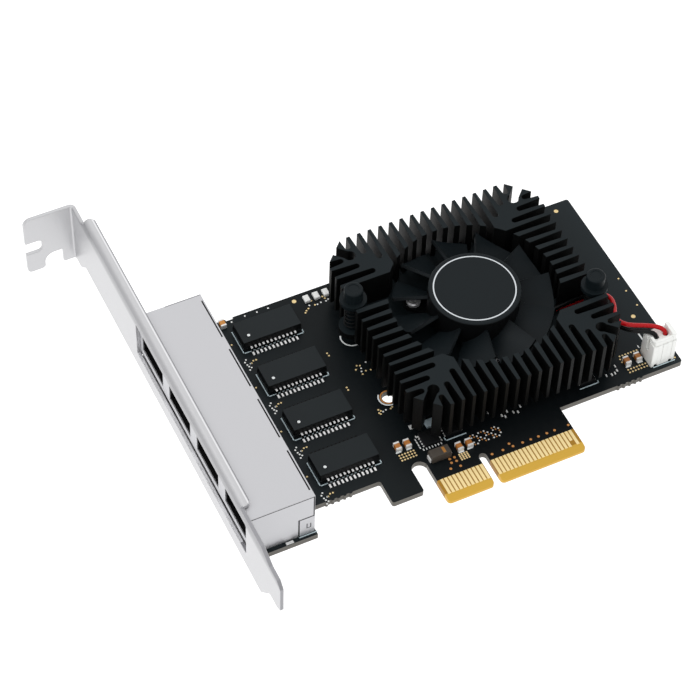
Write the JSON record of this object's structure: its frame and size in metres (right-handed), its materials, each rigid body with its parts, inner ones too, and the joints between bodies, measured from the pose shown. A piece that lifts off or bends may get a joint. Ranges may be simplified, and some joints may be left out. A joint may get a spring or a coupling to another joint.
{
  "type": "ethernet adapter card",
  "caption": "Ethernet adapter card: board with edge contacts, shielded network jacks behind a folded slot bracket, line transformers and a finned cooler with a fan.",
  "frame": {"origin": "leading edge of the contact tab, at the middle of the key notch and of the board's thickness", "axes": "+X from the bracket to the far end, +Y away from the slot, +Z out of the component side"},
  "size_m": [0.1277, 0.12, 0.0246],
  "materials": {
    "solder_mask": "glass laminate under matt black solder mask",
    "pad_gold": "gold plated",
    "bracket_steel": "satin nickel plated",
    "screw_steel": "plated",
    "insert_brass": "turned",
    "jack_plastic": "moulded",
    "contact_gold": "gold plated",
    "carrier_plastic": "moulded",
    "shield_steel": "satin tinned",
    "substrate_laminate": "laminate",
    "lid_nickel": "nickel plated",
    "pad_silicone": "soft",
    "cooler_black": "cast, black coated",
    "pin_nylon": "moulded",
    "spring_steel": "drawn wire",
    "fan_black": "moulded",
    "small_screw_steel": "zinc plated",
    "fan_laminate": "laminate",
    "stator_iron": "stacked sheets",
    "coil_copper": "enamelled copper wire",
    "bearing_bronze": "sintered",
    "shaft_steel": "ground",
    "clip_plastic": "moulded",
    "yoke_steel": "drawn",
    "magnet_ferrite": "bonded",
    "ring_silver": "bright",
    "wire_red": "insulation",
    "wire_black": "insulation",
    "plug_nylon": "natural nylon",
    "pin_tin": "tinned",
    "capacitor_ceramic": "fired",
    "cap_tin": "tinned",
    "inductor_ceramic": "fired",
    "block_resin": "moulded",
    "chip_resin": "moulded",
    "crystal_can": "lidded",
    "transformer_resin": "moulded",
    "lead_tin": "tinned"
  },
  "bodies": {
    "card": {"block_capacitor": "block_resin", "block_capacitor_tabs": "cap_tin", "board": "solder_mask", "bracket": "bracket_steel", "bracket_screws": "screw_steel", "capacitor_end_caps": "cap_tin", "chip_capacitors": "capacitor_ceramic", "chip_inductors": "inductor_ceramic", "contact_carriers": "carrier_plastic", "contact_pads_component_side": "pad_gold", "contact_pads_solder_side": "pad_gold", "controller_lid": "lid_nickel", "controller_substrate": "substrate_laminate", "crystal": "crystal_can", "fan_base": "fan_black", "fan_bearing": "bearing_bronze", "fan_circuit_board": "fan_laminate", "fan_screws": "small_screw_steel", "header_box": "plug_nylon", "header_pins": "pin_tin", "heatsink": "cooler_black", "jack_contacts": "contact_gold", "jack_housing": "jack_plastic", "jack_inserts": "insert_brass", "jack_shield": "shield_steel", "lead_plug": "plug_nylon", "lead_wire_black": "wire_black", "lead_wire_red": "wire_red", "line_transformer_1": "transformer_resin", "line_transformer_2": "transformer_resin", "line_transformer_3": "transformer_resin", "line_transformer_4": "transformer_resin", "plug_sockets": "contact_gold", "push_pin_left": "pin_nylon", "push_pin_right": "pin_nylon", "push_pin_springs": "spring_steel", "regulator_chips": "chip_resin", "regulator_solder": "cap_tin", "stator_coils": "coil_copper", "stator_core": "stator_iron", "thermal_pad": "pad_silicone", "transformer_leads_1": "lead_tin", "transformer_leads_2": "lead_tin", "transformer_leads_3": "lead_tin", "transformer_leads_4": "lead_tin"},
    "fan_rotor": {"fan_impeller": "fan_black", "hub_ring": "ring_silver", "rotor_yoke": "yoke_steel", "rotor_magnet": "magnet_ferrite", "fan_shaft": "shaft_steel", "shaft_clip": "clip_plastic"}
  },
  "joints": [
    {"name": "fan_spin", "type": "hinge", "parent": "card", "child": "fan_rotor", "pos_m": [0.0145, 0.0419, 0.0105], "axis": [0, 0, 1], "continuous": true}
  ]
}
